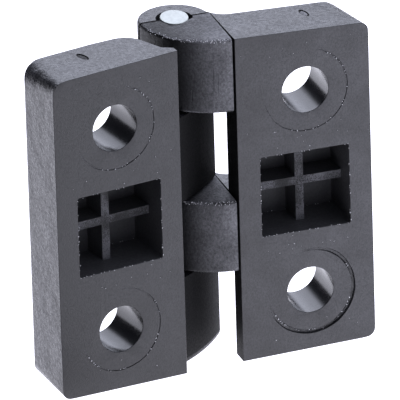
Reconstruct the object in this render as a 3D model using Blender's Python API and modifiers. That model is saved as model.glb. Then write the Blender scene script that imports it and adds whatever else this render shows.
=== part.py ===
"""Surface-mounted plastic hinge with two thick leaves, a steel pin and two knuckle caps.

Units are metres and +Z is up. The pin axis is the Z axis and the lowest knuckle stands on
Z = 0. The mounting faces look along -Y. The right leaf reaches along +X: its knuckles are
half shells, and a cap closes each of them from the front. The left leaf is modelled flat
along -X, has whole knuckles, and is turned about the pin by its empty.

Plan outlines are written for a leaf along +X. The left leaf mirrors them.
"""
import math

import bmesh
import bpy
from mathutils import Matrix

MM = 0.001

# Leaves
LEAF_WIDTH = 19.5 * MM  # inner to outer edge of the mounting face
LEAF_THICKNESS = 9.35 * MM  # mounting face to outer face
PIN_SETBACK = 1.05 * MM  # plane of the outer faces to the pin axis, forwards of it
LEAF_END_DROP = 0.6 * MM  # each end is this much lower at the outer edge
CORNER_RADIUS = 1.5 * MM  # outer corners of the mounting face
BACK_EDGE_RADIUS = 3.0 * MM  # long outer edge of the outer face
FOLD_ANGLE = math.radians(10.0)  # how far the left leaf is folded forward at rest

# Knuckles, from the lowest to the highest
LEFT_LOWER_KNUCKLE = 13.3 * MM
RIGHT_LOWER_KNUCKLE = 10.6 * MM
LEFT_UPPER_KNUCKLE = 12.6 * MM
RIGHT_UPPER_KNUCKLE = 10.9 * MM
KNUCKLE_GAP = 0.4 * MM  # running gap between neighbouring knuckles
KNUCKLE_RADIUS = 5.1 * MM
KNUCKLE_CLEARANCE = 0.1 * MM  # knuckle's round to the inner edge of the mounting face
KNUCKLE_FILLET = 3.0 * MM  # hollow between a knuckle and the outer face

# Front of the left leaf's knuckles, a long slope from the inner wall to the round
SLOPE_SETBACK = 1.9 * MM  # mounting plane to where the slope leaves the inner wall
SLOPE_END = math.radians(155.0)  # where it meets the round, about the pin axis
SLOPE_RADIUS = 28.0 * MM  # its bulge

# Hollows that let the other leaf's knuckles swing, mounting plane to their front edges
LEFT_RELIEF_SETBACK = 1.8 * MM
LEFT_RELIEF_STEP = 0.8 * MM  # corner cut off behind that edge
RIGHT_UPPER_RELIEF_SETBACK = 4.4 * MM
RIGHT_LOWER_RELIEF_SETBACK = 2.9 * MM
RELIEF_MARGIN = 0.05 * MM  # knuckle's hollow to where a relief runs out on the outer face

# Pin and its bore
PIN_DIAMETER = 3.95 * MM
PIN_PROUD = 0.3 * MM  # uppermost knuckle to the pin's upper end
PIN_CLEARANCE = 0.12 * MM  # radial, in the bores and in the caps' seats
MOUTH_CLEARANCE = 0.58 * MM  # radial, where the bore opens at both ends
MOUTH_DEPTH = 0.8 * MM

# Caps of the right leaf's knuckles, each with a V seat for the pin
CAP_SEAM = 0.2 * MM  # between a cap and the faces that it closes
CAP_FRONT_GAP = 0.42 * MM  # between a cap and its leaf, at the front
CAP_SETBACK = 0.1 * MM  # mounting plane to the front of a cap
CAP_EDGE_RADIUS = 0.45 * MM
SEAT_DIRECTION = math.radians(108.0)  # from +X towards the front
SEAT_HALF_ANGLE = math.radians(38.0)
SEAT_DEPTH = 2.65 * MM  # pin axis to the flat at the bottom of the V
PEG_DIAMETER = 1.2 * MM  # locating pegs, two on each cap
PEG_LENGTH = 1.4 * MM
PEG_CLEARANCE = 0.2 * MM

# Screw holes, countersunk from the outer face
HOLE_DIAMETER = 6.8 * MM
HOLE_INSET = 10.1 * MM  # inner edge of the mounting face to a hole's middle
HOLE_END_INSET = 9.2 * MM  # outermost knuckle's end to a hole's middle
COUNTERSINK_DIAMETER = 12.0 * MM
COUNTERSINK_ANGLE = math.radians(90.0)

# Pocket with crossed ribs in the mounting face
POCKET_WIDTH = 13.0 * MM
POCKET_HEIGHT = 11.9 * MM
POCKET_FLOOR = 1.45 * MM  # wall left behind the pocket
RIB_THICKNESS = 1.2 * MM
RIB_RECESS = 3.7 * MM  # mounting face to the ribs' edges
RIB_ROOT = 0.5 * MM  # how deep the ribs' ends sit in the walls and floor

CUT_MARGIN = 1.0 * MM  # how far a cutter runs past the face that it opens
ARC_STEP = math.radians(7.5)
ROUND_STEPS = 48
DISC_STEPS = 96
WELD_DISTANCE = 0.001 * MM

LEAF_COLOUR = (0.035, 0.035, 0.038)
LEAF_ROUGHNESS = 0.55
CAP_COLOUR = (0.03, 0.03, 0.032)
CAP_ROUGHNESS = 0.65
PIN_COLOUR = (0.72, 0.74, 0.76)
PIN_ROUGHNESS = 0.3

TOTAL_HEIGHT = (
    LEFT_LOWER_KNUCKLE + RIGHT_LOWER_KNUCKLE + LEFT_UPPER_KNUCKLE + RIGHT_UPPER_KNUCKLE
    + 3 * KNUCKLE_GAP
)
PIN_RADIUS = PIN_DIAMETER / 2
BORE_RADIUS = PIN_RADIUS + PIN_CLEARANCE
MOUTH_RADIUS = PIN_RADIUS + MOUTH_CLEARANCE
PEG_REACH = (BORE_RADIUS + KNUCKLE_RADIUS) / 2
INNER_EDGE = KNUCKLE_RADIUS + KNUCKLE_CLEARANCE  # pin axis to the mounting face's inner edge
OUTER_EDGE = INNER_EDGE + LEAF_WIDTH
HOLE_REACH = INNER_EDGE + HOLE_INSET
MOUNT_REACH = PIN_SETBACK + LEAF_THICKNESS  # pin axis to the plane of the mounting faces
SLOPE_REACH = MOUNT_REACH - SLOPE_SETBACK
POCKET_DEPTH = LEAF_THICKNESS - POCKET_FLOOR
CAP_WIDTH = INNER_EDGE + KNUCKLE_RADIUS
CAP_REACH = MOUNT_REACH - CAP_SETBACK


def clear_scene():
    for old in list(bpy.data.objects):
        bpy.data.objects.remove(old, do_unlink=True)


def new_collection(name):
    collection = bpy.data.collections.new(name)
    bpy.context.scene.collection.children.link(collection)
    return collection


def plastic(name, colour, roughness):
    material = bpy.data.materials.new(name)
    material.use_nodes = True
    shader = material.node_tree.nodes["Principled BSDF"]
    shader.inputs["Base Color"].default_value = (*colour, 1.0)
    shader.inputs["Roughness"].default_value = roughness
    return material


def steel(name):
    material = plastic(name, PIN_COLOUR, PIN_ROUGHNESS)
    material.node_tree.nodes["Principled BSDF"].inputs["Metallic"].default_value = 1.0
    return material


def arc(centre, radius, start, end):
    """Points of an arc from start to end, both ends included."""
    count = max(2, math.ceil(abs(end - start) / ARC_STEP))
    points = []
    for index in range(count + 1):
        angle = start + (end - start) * index / count
        points.append((centre[0] + radius * math.cos(angle), centre[1] + radius * math.sin(angle)))
    return points


def mirrored(outline, side):
    return [(side * x, y) for x, y in outline]


def prism(name, outline, low, high):
    """Closed solid of a flat outline, from low to high along Z."""
    curve = bpy.data.curves.new(name, "CURVE")
    curve.dimensions = "2D"
    curve.fill_mode = "BOTH"
    curve.extrude = (high - low) / 2
    spline = curve.splines.new("POLY")
    spline.points.add(len(outline) - 1)
    for point, (x, y) in zip(spline.points, outline):
        point.co = (x, y, 0.0, 1.0)
    spline.use_cyclic_u = True
    flat = bpy.data.objects.new(name, curve)
    bpy.context.scene.collection.objects.link(flat)
    bpy.context.view_layer.update()
    evaluated = flat.evaluated_get(bpy.context.evaluated_depsgraph_get())
    mesh = bpy.data.meshes.new_from_object(evaluated)
    bpy.data.objects.remove(flat, do_unlink=True)
    bpy.data.curves.remove(curve)
    weld(mesh, Matrix.Translation((0.0, 0.0, (low + high) / 2)))
    mesh.name = name
    return bpy.data.objects.new(name, mesh)


def weld(mesh, matrix):
    shape = bmesh.new()
    shape.from_mesh(mesh)
    bmesh.ops.remove_doubles(shape, verts=shape.verts, dist=WELD_DISTANCE)
    bmesh.ops.transform(shape, matrix=matrix, verts=shape.verts)
    bmesh.ops.recalc_face_normals(shape, faces=shape.faces)
    shape.to_mesh(mesh)
    shape.free()


def cylinder(name, radius, low, high):
    shape = bmesh.new()
    middle = Matrix.Translation((0.0, 0.0, (low + high) / 2))
    bmesh.ops.create_cone(
        shape, cap_ends=True, segments=ROUND_STEPS, radius1=radius, radius2=radius,
        depth=high - low, matrix=middle,
    )
    mesh = bpy.data.meshes.new(name)
    shape.to_mesh(mesh)
    shape.free()
    return bpy.data.objects.new(name, mesh)


def block(name, size, centre):
    shape = bmesh.new()
    bmesh.ops.create_cube(shape, size=1.0)
    bmesh.ops.scale(shape, vec=size, verts=shape.verts)
    bmesh.ops.translate(shape, vec=centre, verts=shape.verts)
    mesh = bpy.data.meshes.new(name)
    shape.to_mesh(mesh)
    shape.free()
    return bpy.data.objects.new(name, mesh)


def turned(name, profile, steps=ROUND_STEPS):
    """Turned solid of a profile of (radius, height) points, from top to bottom."""
    mesh = bpy.data.meshes.new(name)
    points = [(radius, 0.0, height) for radius, height in profile]
    mesh.from_pydata(points, [(i, i + 1) for i in range(len(points) - 1)], [])
    solid = bpy.data.objects.new(name, mesh)
    screw = solid.modifiers.new("turn", "SCREW")
    screw.axis = "Z"
    screw.angle = math.tau
    screw.steps = steps
    screw.render_steps = steps
    screw.use_merge_vertices = True
    screw.merge_threshold = WELD_DISTANCE
    return solid


def place(solid, parent, collection, material):
    collection.objects.link(solid)
    solid.parent = parent
    solid.data.materials.append(material)
    return solid


def boolean(target, cutter, operation, cutters):
    """Cuts, joins or trims target with cutter, which shares target's parent."""
    cutters.objects.link(cutter)
    cutter.parent = target.parent
    cutter.hide_render = True
    cutter.display_type = "WIRE"
    modifier = target.modifiers.new(cutter.name, "BOOLEAN")
    modifier.operation = operation
    modifier.solver = "EXACT"
    modifier.object = cutter


def knuckle_spans():
    """Lowest and highest Z of each knuckle, with the side that it belongs to."""
    stack = [
        ("left_lower", LEFT_LOWER_KNUCKLE),
        ("right_lower", RIGHT_LOWER_KNUCKLE),
        ("left_upper", LEFT_UPPER_KNUCKLE),
        ("right_upper", RIGHT_UPPER_KNUCKLE),
    ]
    spans = {}
    low = 0.0
    for name, height in stack:
        spans[name] = (low, low + height)
        low += height + KNUCKLE_GAP
    return spans


def arc_between(start, end, radius):
    """Points of a flat arc that bulges to the right of the way from start to end."""
    half = math.dist(start, end) / 2
    along = ((end[0] - start[0]) / (2 * half), (end[1] - start[1]) / (2 * half))
    drop = math.sqrt(radius ** 2 - half ** 2)
    centre = (
        (start[0] + end[0]) / 2 - along[1] * drop,
        (start[1] + end[1]) / 2 + along[0] * drop,
    )
    first = math.atan2(start[1] - centre[1], start[0] - centre[0])
    sweep = 2 * math.asin(half / radius)
    return arc(centre, radius, first, first + sweep)


def knuckle_fillet():
    """Middle of the hollow between the knuckle's round and the outer face."""
    rise = KNUCKLE_FILLET - PIN_SETBACK
    return math.sqrt((KNUCKLE_RADIUS + KNUCKLE_FILLET) ** 2 - rise ** 2), rise


def back_outline(level):
    """Outer side of a leaf and its knuckle, from the outer edge round to a level behind the pin."""
    back_edge = (OUTER_EDGE - BACK_EDGE_RADIUS, -PIN_SETBACK - BACK_EDGE_RADIUS)
    fillet = knuckle_fillet()
    tangent = math.atan2(fillet[1], fillet[0])
    outline = arc(back_edge, BACK_EDGE_RADIUS, 0.0, math.pi / 2)
    outline += arc(fillet, KNUCKLE_FILLET, -math.pi / 2, tangent - math.pi)
    end = math.pi - math.asin(level / KNUCKLE_RADIUS)
    outline += arc((0.0, 0.0), KNUCKLE_RADIUS, tangent, end)[1:]
    return outline


def right_leaf_plan():
    """Leaf with half knuckles that end just behind the pin's middle."""
    outline = [(INNER_EDGE, -MOUNT_REACH), (OUTER_EDGE, -MOUNT_REACH)]
    outline += back_outline(CAP_SEAM / 2)
    outline.append((INNER_EDGE, CAP_SEAM / 2))
    return outline


def left_leaf_plan():
    """Leaf with whole knuckles, whose front is a long slope."""
    round_end = -SLOPE_END
    slope_end = (KNUCKLE_RADIUS * math.cos(round_end), KNUCKLE_RADIUS * math.sin(round_end))
    outline = [(INNER_EDGE, -MOUNT_REACH), (OUTER_EDGE, -MOUNT_REACH)]
    outline += back_outline(0.0)
    outline += arc((0.0, 0.0), KNUCKLE_RADIUS, math.pi, math.tau + round_end)[1:]
    outline += arc_between(slope_end, (INNER_EDGE, -SLOPE_REACH), SLOPE_RADIUS)[1:]
    return outline


def leaf_front():
    """Leaf and knuckles seen from the front."""
    lean = math.atan(LEAF_END_DROP / LEAF_WIDTH)
    setback = CORNER_RADIUS * math.tan((math.pi / 2 - lean) / 2)
    outer = OUTER_EDGE - CORNER_RADIUS
    corner = LEAF_END_DROP - setback * math.sin(lean) + CORNER_RADIUS * math.cos(lean)
    inner = -KNUCKLE_RADIUS - CUT_MARGIN
    outline = [(inner, 0.0), (INNER_EDGE, 0.0)]
    outline += arc((outer, corner), CORNER_RADIUS, lean - math.pi / 2, 0.0)
    outline += arc((outer, TOTAL_HEIGHT - corner), CORNER_RADIUS, 0.0, math.pi / 2 - lean)
    outline += [(INNER_EDGE, TOTAL_HEIGHT), (inner, TOTAL_HEIGHT)]
    return outline


def relief_plan(setback, step):
    """Hollow for the other leaf's knuckle: its slanted wall runs out at the outer face."""
    reach = MOUNT_REACH - setback
    outer = (knuckle_fillet()[0] + RELIEF_MARGIN, -PIN_SETBACK)
    start = (INNER_EDGE, -reach)
    corner = (INNER_EDGE + step, step - reach)
    slant = (outer[0] - corner[0]) / (outer[1] - corner[1])
    past = KNUCKLE_RADIUS + CUT_MARGIN
    outline = [(-past, past), (-past, -reach), start]
    if step > 0.0:
        outline.append(corner)
    outline.append((outer[0] + slant * CUT_MARGIN, outer[1] + CUT_MARGIN))
    outline.append((outer[0] + slant * CUT_MARGIN, past))
    return outline


def reliefs(side_name):
    """Name, outline, lowest and highest Z of a leaf's two hollows."""
    spans = knuckle_spans()
    if side_name == "left":
        plan = relief_plan(LEFT_RELIEF_SETBACK, LEFT_RELIEF_STEP)
        return [
            ("lower", plan, spans["left_lower"][1], spans["left_upper"][0]),
            ("upper", plan, spans["left_upper"][1], TOTAL_HEIGHT + CUT_MARGIN),
        ]
    lower = relief_plan(RIGHT_LOWER_RELIEF_SETBACK, 0.0)
    upper = relief_plan(RIGHT_UPPER_RELIEF_SETBACK, 0.0)
    return [
        ("lower", lower, -CUT_MARGIN, spans["right_lower"][0]),
        ("upper", upper, spans["right_lower"][1], spans["right_upper"][0]),
    ]


def trim_leaf_ends(leaf, side, cutters):
    back = -KNUCKLE_RADIUS - CUT_MARGIN
    outline = mirrored(leaf_front(), side)
    front = prism(leaf.name + "_front", outline, back, MOUNT_REACH + CUT_MARGIN)
    front.data.transform(Matrix.Rotation(math.pi / 2, 4, "X"))
    boolean(leaf, front, "INTERSECT", cutters)


def cut_reliefs(leaf, side_name, side, cutters):
    for name, plan, low, high in reliefs(side_name):
        relief = prism(f"{leaf.name}_{name}_relief", mirrored(plan, side), low, high)
        boolean(leaf, relief, "DIFFERENCE", cutters)


def cut_bore(leaf, cutters):
    top = TOTAL_HEIGHT + CUT_MARGIN
    bore = turned(leaf.name + "_bore", [
        (0.0, top),
        (MOUTH_RADIUS, top),
        (MOUTH_RADIUS, TOTAL_HEIGHT - MOUTH_DEPTH),
        (BORE_RADIUS, TOTAL_HEIGHT - MOUTH_DEPTH),
        (BORE_RADIUS, MOUTH_DEPTH),
        (MOUTH_RADIUS, MOUTH_DEPTH),
        (MOUTH_RADIUS, -CUT_MARGIN),
        (0.0, -CUT_MARGIN),
    ])
    boolean(leaf, bore, "DIFFERENCE", cutters)


def cut_screw_holes(leaf, side, cutters):
    hole = HOLE_DIAMETER / 2
    sink = COUNTERSINK_DIAMETER / 2
    sink_depth = (sink - hole) / math.tan(COUNTERSINK_ANGLE / 2)
    for index, height in enumerate((HOLE_END_INSET, TOTAL_HEIGHT - HOLE_END_INSET)):
        cutter = turned(f"{leaf.name}_hole_{index}", [
            (0.0, CUT_MARGIN),
            (sink, CUT_MARGIN),
            (sink, 0.0),
            (hole, -sink_depth),
            (hole, -LEAF_THICKNESS - CUT_MARGIN),
            (0.0, -LEAF_THICKNESS - CUT_MARGIN),
        ])
        cutter.location = (side * HOLE_REACH, -PIN_SETBACK, height)
        cutter.rotation_euler.x = -math.pi / 2
        boolean(leaf, cutter, "DIFFERENCE", cutters)


def cut_pocket(leaf, side, cutters):
    """Cuts the pocket and puts its two ribs back, rooted in its walls and floor."""
    x = INNER_EDGE + LEAF_WIDTH / 2
    z = TOTAL_HEIGHT / 2
    pocket = block(
        leaf.name + "_pocket",
        (POCKET_WIDTH, POCKET_DEPTH + CUT_MARGIN, POCKET_HEIGHT),
        (side * x, (POCKET_DEPTH - CUT_MARGIN) / 2 - MOUNT_REACH, z),
    )
    boolean(leaf, pocket, "DIFFERENCE", cutters)
    depth = POCKET_DEPTH + RIB_ROOT - RIB_RECESS
    y = RIB_RECESS + depth / 2 - MOUNT_REACH
    upright = (RIB_THICKNESS, depth, POCKET_HEIGHT + 2 * RIB_ROOT)
    level = (POCKET_WIDTH + 2 * RIB_ROOT, depth, RIB_THICKNESS)
    ribs = (("upright", upright, HOLE_REACH), ("level", level, x))
    for name, size, reach in ribs:
        rib = block(f"{leaf.name}_{name}_rib", size, (side * reach, y, z))
        boolean(leaf, rib, "UNION", cutters)


def peg_places(span):
    middle = (span[0] + span[1]) / 2
    return [(-PEG_REACH, 0.0, middle), (PEG_REACH, 0.0, middle)]


def cut_peg_sockets(leaf, cutters):
    for name, span in knuckle_spans().items():
        if not name.startswith("right"):
            continue
        for index, place_of_peg in enumerate(peg_places(span)):
            radius = PEG_DIAMETER / 2 + PEG_CLEARANCE
            depth = PEG_LENGTH + PEG_CLEARANCE
            socket = cylinder(f"{name}_socket_{index}", radius, -CUT_MARGIN, depth)
            socket.location = place_of_peg
            socket.rotation_euler.x = -math.pi / 2
            boolean(leaf, socket, "DIFFERENCE", cutters)


def make_leaf(side_name, plan, parent, parts, cutters):
    side = 1 if side_name == "right" else -1
    top = TOTAL_HEIGHT + CUT_MARGIN
    leaf = prism(f"{side_name}_leaf", mirrored(plan, side), -CUT_MARGIN, top)
    polyamide = plastic(f"{side_name}_leaf_polyamide", LEAF_COLOUR, LEAF_ROUGHNESS)
    place(leaf, parent, parts, polyamide)
    trim_leaf_ends(leaf, side, cutters)
    cut_reliefs(leaf, side_name, side, cutters)
    cut_bore(leaf, cutters)
    cut_screw_holes(leaf, side, cutters)
    cut_pocket(leaf, side, cutters)
    return leaf


def seat_plan():
    """V seat for the pin, from the seam on the right to the seam on the left."""
    lines = []
    for turn in (SEAT_HALF_ANGLE - math.pi / 2, 0.0, math.pi / 2 - SEAT_HALF_ANGLE):
        normal = SEAT_DIRECTION + turn
        reach = SEAT_DEPTH if turn == 0.0 else BORE_RADIUS
        lines.append((math.cos(normal), math.sin(normal), reach))
    seam = (0.0, 1.0, CAP_SEAM / 2)
    rows = [seam] + lines + [seam]
    points = []
    for (a, b, c), (d, e, f) in zip(rows, rows[1:]):
        scale = a * e - b * d
        points.append(((c * e - b * f) / scale, -(a * f - c * d) / scale))
    return points


def cap_plan():
    """Sides of a knuckle cap seen from above, with its seat."""
    past = max(CAP_WIDTH, CAP_REACH) + CUT_MARGIN
    return [
        (INNER_EDGE - past, -CAP_SEAM / 2),
        (INNER_EDGE - past, -past),
        (INNER_EDGE - CAP_FRONT_GAP, -past),
        (INNER_EDGE - CAP_FRONT_GAP, -CAP_REACH),
        (INNER_EDGE - CAP_SEAM, -CAP_SEAM / 2),
    ] + seat_plan()


def rounded_disc(name, radius, height, edge_radius):
    """Turned disc with rounded rims, centred on its own origin."""
    rim = (radius - edge_radius, height / 2 - edge_radius)
    upper = arc(rim, edge_radius, math.pi / 2, 0.0)
    lower = [(reach, -level) for reach, level in reversed(upper)]
    return turned(name, [(0.0, height / 2)] + upper + lower + [(0.0, -height / 2)], DISC_STEPS)


def make_cap(name, span, parts, cutters):
    low, high = span
    cap = prism(f"{name}_cap", cap_plan(), low - CUT_MARGIN, high + CUT_MARGIN)
    place(cap, None, parts, plastic(f"{name}_cap_polyamide", CAP_COLOUR, CAP_ROUGHNESS))
    disc = rounded_disc(f"{name}_disc", CAP_WIDTH, high - low, CAP_EDGE_RADIUS)
    disc.location = (INNER_EDGE, 0.0, (low + high) / 2)
    disc.scale.y = CAP_REACH / CAP_WIDTH
    boolean(cap, disc, "INTERSECT", cutters)
    for index, place_of_peg in enumerate(peg_places(span)):
        peg = cylinder(f"{name}_peg_{index}", PEG_DIAMETER / 2, -CUT_MARGIN, PEG_LENGTH)
        peg.location = place_of_peg
        peg.rotation_euler.x = -math.pi / 2
        boolean(cap, peg, "UNION", cutters)
    return cap


def make_pin(parts, material):
    pin = cylinder("hinge_pin", PIN_RADIUS, 0.0, TOTAL_HEIGHT + PIN_PROUD)
    place(pin, None, parts, material)
    return pin


def main():
    clear_scene()
    parts = new_collection("plastic_hinge")
    cutters = new_collection("cutters")
    pivot = bpy.data.objects.new("left_leaf_pivot", None)
    parts.objects.link(pivot)
    pivot.rotation_euler.z = FOLD_ANGLE
    right_leaf = make_leaf("right", right_leaf_plan(), None, parts, cutters)
    cut_peg_sockets(right_leaf, cutters)
    make_leaf("left", left_leaf_plan(), pivot, parts, cutters)
    spans = knuckle_spans()
    make_cap("upper", spans["right_upper"], parts, cutters)
    make_cap("lower", spans["right_lower"], parts, cutters)
    make_pin(parts, steel("hinge_pin_steel"))


main()
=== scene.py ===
import math
import bmesh
import bpy
from mathutils import Matrix, Vector


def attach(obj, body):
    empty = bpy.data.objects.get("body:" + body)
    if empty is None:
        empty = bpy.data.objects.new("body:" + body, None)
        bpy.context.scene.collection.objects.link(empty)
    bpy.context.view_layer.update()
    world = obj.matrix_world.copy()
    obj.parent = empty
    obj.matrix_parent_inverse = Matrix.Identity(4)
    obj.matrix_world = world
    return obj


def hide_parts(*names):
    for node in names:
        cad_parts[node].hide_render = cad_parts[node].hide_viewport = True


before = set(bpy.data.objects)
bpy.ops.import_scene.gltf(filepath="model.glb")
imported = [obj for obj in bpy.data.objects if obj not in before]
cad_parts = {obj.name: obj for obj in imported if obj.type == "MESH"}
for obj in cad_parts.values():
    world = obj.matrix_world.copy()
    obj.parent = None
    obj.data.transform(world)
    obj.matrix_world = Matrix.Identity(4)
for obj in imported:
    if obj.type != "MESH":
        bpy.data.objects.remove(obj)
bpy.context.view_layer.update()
mm = 0.001
turnSteps = 96  # sides of a round thing
slack = 0.01  # millimetres that a point may miss its place by
print("frame loaded:", len(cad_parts), "nodes")


# Shapes in millimetres: outlines, prisms and cuts

def arcPoints(centre, radius, start, end, step=3.0):
    count = max(2, math.ceil(abs(end - start) / math.radians(step)))
    points = []
    for index in range(count + 1):
        angle = start + (end - start) * index / count
        points.append((centre[0] + radius * math.cos(angle), centre[1] + radius * math.sin(angle)))
    return points


def arcBetween(start, end, radius):  # bulges to the right of the way from start to end
    half = math.dist(start, end) / 2
    along = ((end[0] - start[0]) / (2 * half), (end[1] - start[1]) / (2 * half))
    drop = math.sqrt(radius ** 2 - half ** 2)
    centre = ((start[0] + end[0]) / 2 - along[1] * drop, (start[1] + end[1]) / 2 + along[0] * drop)
    first = math.atan2(start[1] - centre[1], start[0] - centre[0])
    return arcPoints(centre, radius, first, first + 2 * math.asin(half / radius))


def newObject(name, shape, matrix=None):  # shape is a bmesh in millimetres
    bmesh.ops.scale(shape, vec=(mm, mm, mm), verts=shape.verts)
    if matrix is not None:
        bmesh.ops.transform(shape, matrix=matrix, verts=shape.verts)
    bmesh.ops.recalc_face_normals(shape, faces=shape.faces)
    mesh = bpy.data.meshes.new(name)
    shape.to_mesh(mesh)
    shape.free()
    piece = bpy.data.objects.new(name, mesh)
    bpy.context.scene.collection.objects.link(piece)
    return piece


def rectangle(left, right, low, high):
    return [(left, low), (right, low), (right, high), (left, high)]


def prismShape(outline, low, high):
    shape = bmesh.new()
    lower = [shape.verts.new((x, y, low)) for x, y in outline]
    upper = [shape.verts.new((x, y, high)) for x, y in outline]
    shape.faces.new(list(reversed(lower)))
    shape.faces.new(upper)
    for index in range(len(outline)):
        other = (index + 1) % len(outline)
        shape.faces.new((lower[index], lower[other], upper[other], upper[index]))
    bmesh.ops.recalc_face_normals(shape, faces=shape.faces)
    return shape


def prism(name, outline, low, high, matrix=None):
    return newObject(name, prismShape(outline, low, high), matrix)


def loft(name, rings, matrix=None):  # a solid through outlines of equal length, in the flat triangles that cuts need
    shape = bmesh.new()
    rows = [[shape.verts.new(point) for point in ring] for ring in rings]
    for low, high in zip(rows, rows[1:]):
        for index in range(len(low)):
            other = (index + 1) % len(low)
            shape.faces.new((low[index], low[other], high[other], high[index]))
    shape.faces.new(rows[0])
    shape.faces.new(rows[-1])
    bmesh.ops.triangulate(shape, faces=shape.faces)
    return newObject(name, shape, matrix)


def spun(name, profile, steps, matrix=None):  # profile of (radius, height), closed on the axis
    shape = bmesh.new()
    rings = []
    for radius, height in profile:
        if radius == 0.0:
            rings.append([shape.verts.new((0.0, 0.0, height))])
            continue
        ring = []
        for index in range(steps):
            angle = math.tau * index / steps
            ring.append(shape.verts.new((radius * math.cos(angle), radius * math.sin(angle), height)))
        rings.append(ring)
    for low, high in zip(rings, rings[1:]):
        for index in range(steps):
            other = (index + 1) % steps
            lower = [low[index % len(low)], low[other % len(low)]]
            upper = [high[other % len(high)], high[index % len(high)]]
            shape.faces.new(list(dict.fromkeys(lower + upper)))
    return newObject(name, shape, matrix)


def settle(piece):  # turns what the modifiers give into the piece's own mesh
    bpy.context.view_layer.update()
    graph = bpy.context.evaluated_depsgraph_get()
    mesh = bpy.data.meshes.new_from_object(piece.evaluated_get(graph))
    piece.modifiers.clear()
    old = piece.data
    piece.data = mesh
    bpy.data.meshes.remove(old)
    mesh.name = piece.name
    return piece


def modify(piece, kind, **settings):  # applies one modifier
    modifier = piece.modifiers.new(kind.lower(), kind)
    for name, value in settings.items():
        setattr(modifier, name, value)
    return settle(piece)


def cut(piece, cutter, operation="DIFFERENCE"):
    modify(piece, "BOOLEAN", operation=operation, solver="EXACT", object=cutter)
    bpy.data.objects.remove(cutter, do_unlink=True)


def triangulate(piece):  # flat faces only, which the cuts need
    shape = bmesh.new()
    shape.from_mesh(piece.data)
    bmesh.ops.triangulate(shape, faces=shape.faces)
    shape.to_mesh(piece.data)
    shape.free()


def mergeFlat(piece, chosen):  # joins the triangles of each flat face that the test picks
    shape = bmesh.new()
    shape.from_mesh(piece.data)
    bmesh.ops.remove_doubles(shape, verts=shape.verts, dist=0.0005 * mm)  # what the cuts left all but touching
    edges = [edge for edge in shape.edges if all(chosen(vert.co / mm) for vert in edge.verts)]
    verts = [vert for vert in shape.verts if chosen(vert.co / mm)]
    flat = math.radians(0.02)
    bmesh.ops.dissolve_limit(shape, angle_limit=flat, use_dissolve_boundaries=False, verts=verts, edges=edges)
    shape.to_mesh(piece.data)
    shape.free()


def bevel(piece, width, segments):  # rounds the edges that have a weight, the heaviest by the width
    return modify(
        piece, "BEVEL", width=width * mm, segments=segments, limit_method="WEIGHT", use_clamp_overlap=False,
    )


def markEdges(piece, chosen, angle=38.0):  # gives full weight to the corners that the test picks
    shape = bmesh.new()
    shape.from_mesh(piece.data)
    layers = shape.edges.layers.float
    weights = layers.get("bevel_weight_edge") or layers.new("bevel_weight_edge")
    for edge in shape.edges:
        corner = len(edge.link_faces) == 2 and edge.calc_face_angle(0.0) > math.radians(angle)
        edge[weights] = 1.0 if corner and all(chosen(vert.co / mm) for vert in edge.verts) else 0.0
    shape.to_mesh(piece.data)
    shape.free()


def smooth(piece, angle=38.0):  # flat faces keep their own normals, narrow rounds blend between them
    piece.data.shade_smooth()
    piece.data.set_sharp_from_angle(angle=math.radians(angle))
    modify(piece, "WEIGHTED_NORMAL", keep_sharp=True)


# Materials and nodes

def linearColour(hexCode):
    channels = []
    for start in (0, 2, 4):
        value = int(hexCode[start:start + 2], 16) / 255
        channels.append(value / 12.92 if value <= 0.04045 else ((value + 0.055) / 1.055) ** 2.4)
    return (*channels, 1.0)


def feed(tree, node, links):  # each input gets a value, a socket, a node's first output, or a list of these
    for name, value in links.items():
        for source in value if isinstance(value, list) else [value]:
            if isinstance(source, bpy.types.Node):
                source = source.outputs[0]
            if isinstance(source, bpy.types.NodeSocket):
                tree.links.new(source, node.inputs[name])
            else:
                node.inputs[name].default_value = source


def addNode(tree, kind, links=None, **settings):
    node = tree.nodes.new(kind)
    for name, value in settings.items():
        setattr(node, name, value)
    feed(tree, node, links or {})
    return node


def newMaterial(name):
    material = bpy.data.materials.new(name)
    material.use_nodes = True
    return material, material.node_tree, material.node_tree.nodes["Principled BSDF"]


def newTree(name, inputs):  # inputs gives defaults; every tree also takes a mesh and a material
    kinds = {int: "NodeSocketInt", float: "NodeSocketFloat", tuple: "NodeSocketVector"}
    tree = bpy.data.node_groups.new(name, "GeometryNodeTree")
    tree.interface.new_socket("Geometry", in_out="INPUT", socket_type="NodeSocketGeometry")
    for socketName, value in inputs.items():
        socket = tree.interface.new_socket(socketName, in_out="INPUT", socket_type=kinds[type(value)])
        socket.default_value = value
    tree.interface.new_socket("Material", in_out="INPUT", socket_type="NodeSocketMaterial")
    tree.interface.new_socket("Geometry", in_out="OUTPUT", socket_type="NodeSocketGeometry")
    return tree, tree.nodes.new("NodeGroupInput").outputs, tree.nodes.new("NodeGroupOutput")


def addRow(tree, given):  # points along Z
    step = addNode(tree, "ShaderNodeCombineXYZ", {"Z": given["Spacing"]})
    return addNode(tree, "GeometryNodeMeshLine", {
        "Count": given["Count"], "Start Location": given["First"], "Offset": step,
    }, mode="OFFSET")


def closeTree(tree, geometry, given, result):  # ends a tree in a plain mesh with one finish
    whole = addNode(tree, "GeometryNodeRealizeInstances", {"Geometry": geometry})
    finish = addNode(tree, "GeometryNodeSetMaterial", {"Geometry": whole, "Material": given["Material"]})
    feed(tree, result, {"Geometry": finish})
    return tree


def inMetres(values):
    return {name: value * mm for name, value in values.items()}


def grow(piece, tree, values):  # adds the tree as a modifier, its inputs set by identifier
    modifier = piece.modifiers.new(tree.name, "NODES")
    modifier.node_group = tree
    for item in tree.interface.items_tree:
        if item.in_out == "INPUT" and item.name in values:
            modifier[item.identifier] = values[item.name]


# Finishes

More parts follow.
